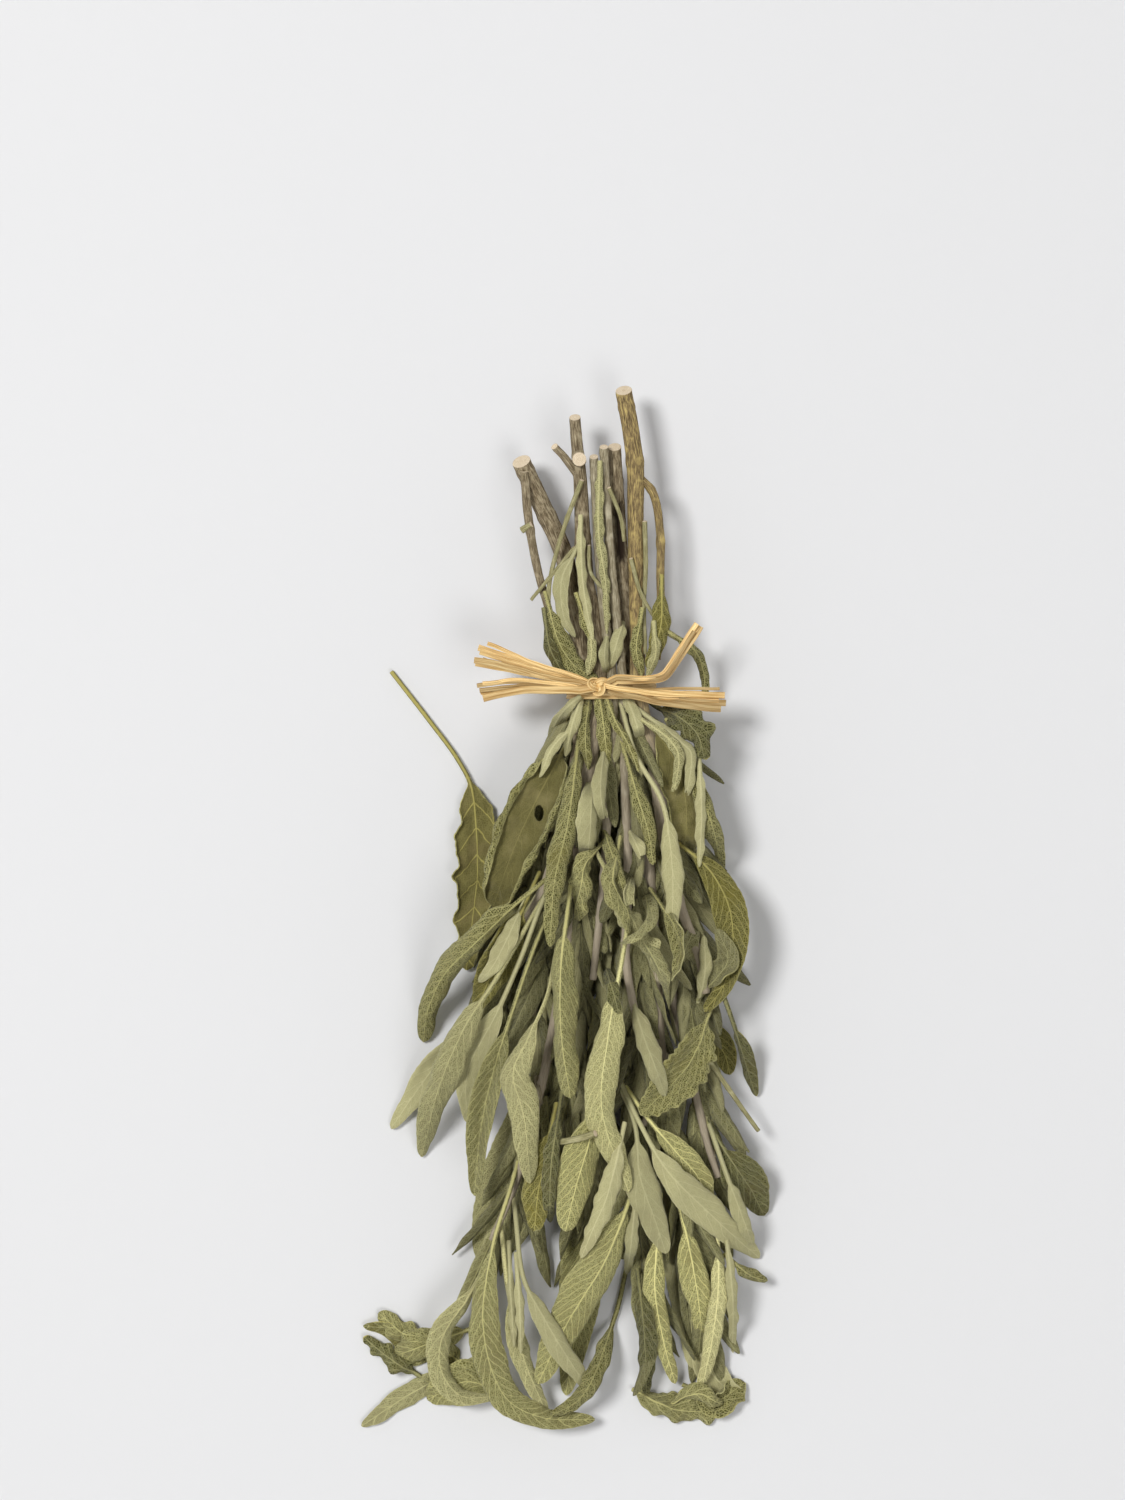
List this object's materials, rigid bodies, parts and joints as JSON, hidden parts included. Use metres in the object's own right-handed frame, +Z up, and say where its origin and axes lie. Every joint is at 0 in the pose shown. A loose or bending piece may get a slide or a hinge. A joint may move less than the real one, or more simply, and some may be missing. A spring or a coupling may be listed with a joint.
{
  "type": "dried sage bunch",
  "caption": "Dried sage bunch lying on its back: cut woody stems, long wrinkled grey-green leaves with stalks, and a knotted raffia tie round the neck.",
  "frame": {"origin": "centre of the bunch's bounding box, on the table that it lies on", "axes": "+Y along the bunch towards its cut stem ends, +Z up from the table, +X to the right seen from above with the stems at the top"},
  "size_m": [0.1248, 0.3158, 0.0352],
  "materials": {
    "green_leaf": "dry, matt, pebbled upper side of a dried sage leaf",
    "pale_leaf": "dry, matt, felted pale grey-green leaf",
    "yellow_leaf": "dry, matt, yellow-green leaf",
    "dark_leaf": "dry, matt, dark olive leaf",
    "brown_bark": "rough, ribbed grey-brown bark with pale cut ends",
    "young_bark": "ribbed, downy taupe skin of a young stem",
    "raffia": "dry tan palm fibre, slightly glossy, split lengthways"
  },
  "bodies": {
    "root": {"back_leaf_left": "pale_leaf", "back_leaf_low_left": "pale_leaf", "back_leaf_low_middle": "green_leaf", "back_leaf_low_right": "pale_leaf", "back_leaf_middle": "pale_leaf", "back_leaf_right": "pale_leaf", "bright_midrib_leaf": "green_leaf", "central_big_leaf": "green_leaf", "cup_leaf_low_right": "pale_leaf", "left_beige_leaf": "pale_leaf", "left_cupped_leaf": "green_leaf", "left_olive_leaf": "yellow_leaf", "left_pale_leaf_back": "pale_leaf", "left_rolled_leaf": "green_leaf", "left_sprig_leaf_folded": "green_leaf", "left_sprig_leaf_long": "pale_leaf", "left_wavy_leaf": "pale_leaf", "loose_leaf_long_stalk": "green_leaf", "lower_left_arc_leaf": "pale_leaf", "lower_left_end_leaf": "dark_leaf", "lower_left_long_leaf": "green_leaf", "lower_left_olive_leaf": "green_leaf", "lower_left_outer_leaf": "pale_leaf", "lower_left_pale_back_leaf": "pale_leaf", "lower_left_pale_leaf": "pale_leaf", "lower_right_edge_leaf": "pale_leaf", "lower_right_green_leaf": "green_leaf", "lower_right_long_leaf": "green_leaf", "lower_right_sprig_leaf_green": "green_leaf", "lower_right_sprig_leaf_long": "pale_leaf", "lower_right_sprig_leaf_pale": "pale_leaf", "middle_curled_leaf": "pale_leaf", "middle_folded_leaf": "green_leaf", "middle_low_broad_leaf": "green_leaf", "raffia_end_left_lower": "raffia", "raffia_end_left_upper": "raffia", "raffia_end_right_long": "raffia", "raffia_end_right_short": "raffia", "raffia_knot": "raffia", "raffia_wrap": "raffia", "right_arc_leaf": "yellow_leaf", "right_crumpled_leaf": "dark_leaf", "right_dark_cup_leaf": "yellow_leaf", "right_edge_leaf_back": "green_leaf", "right_edge_leaf_narrow": "green_leaf", "right_long_pale_leaf": "pale_leaf", "right_low_olive_leaf": "dark_leaf", "right_small_rolled_leaf": "dark_leaf", "right_toothed_leaf": "green_leaf", "stem_back_left": "brown_bark", "stem_back_right": "brown_bark", "stem_hollow_brown": "brown_bark", "stem_left_thick": "brown_bark", "stem_middle_cut_stub": "brown_bark", "stem_ribbed_left": "young_bark", "stem_ribbed_right": "young_bark", "stem_right_tall": "brown_bark", "upper_left_pebbled_leaf": "green_leaf", "upper_right_pebbled_leaf": "green_leaf", "yellow_leaf_low_left": "yellow_leaf"}
  },
  "joints": []
}
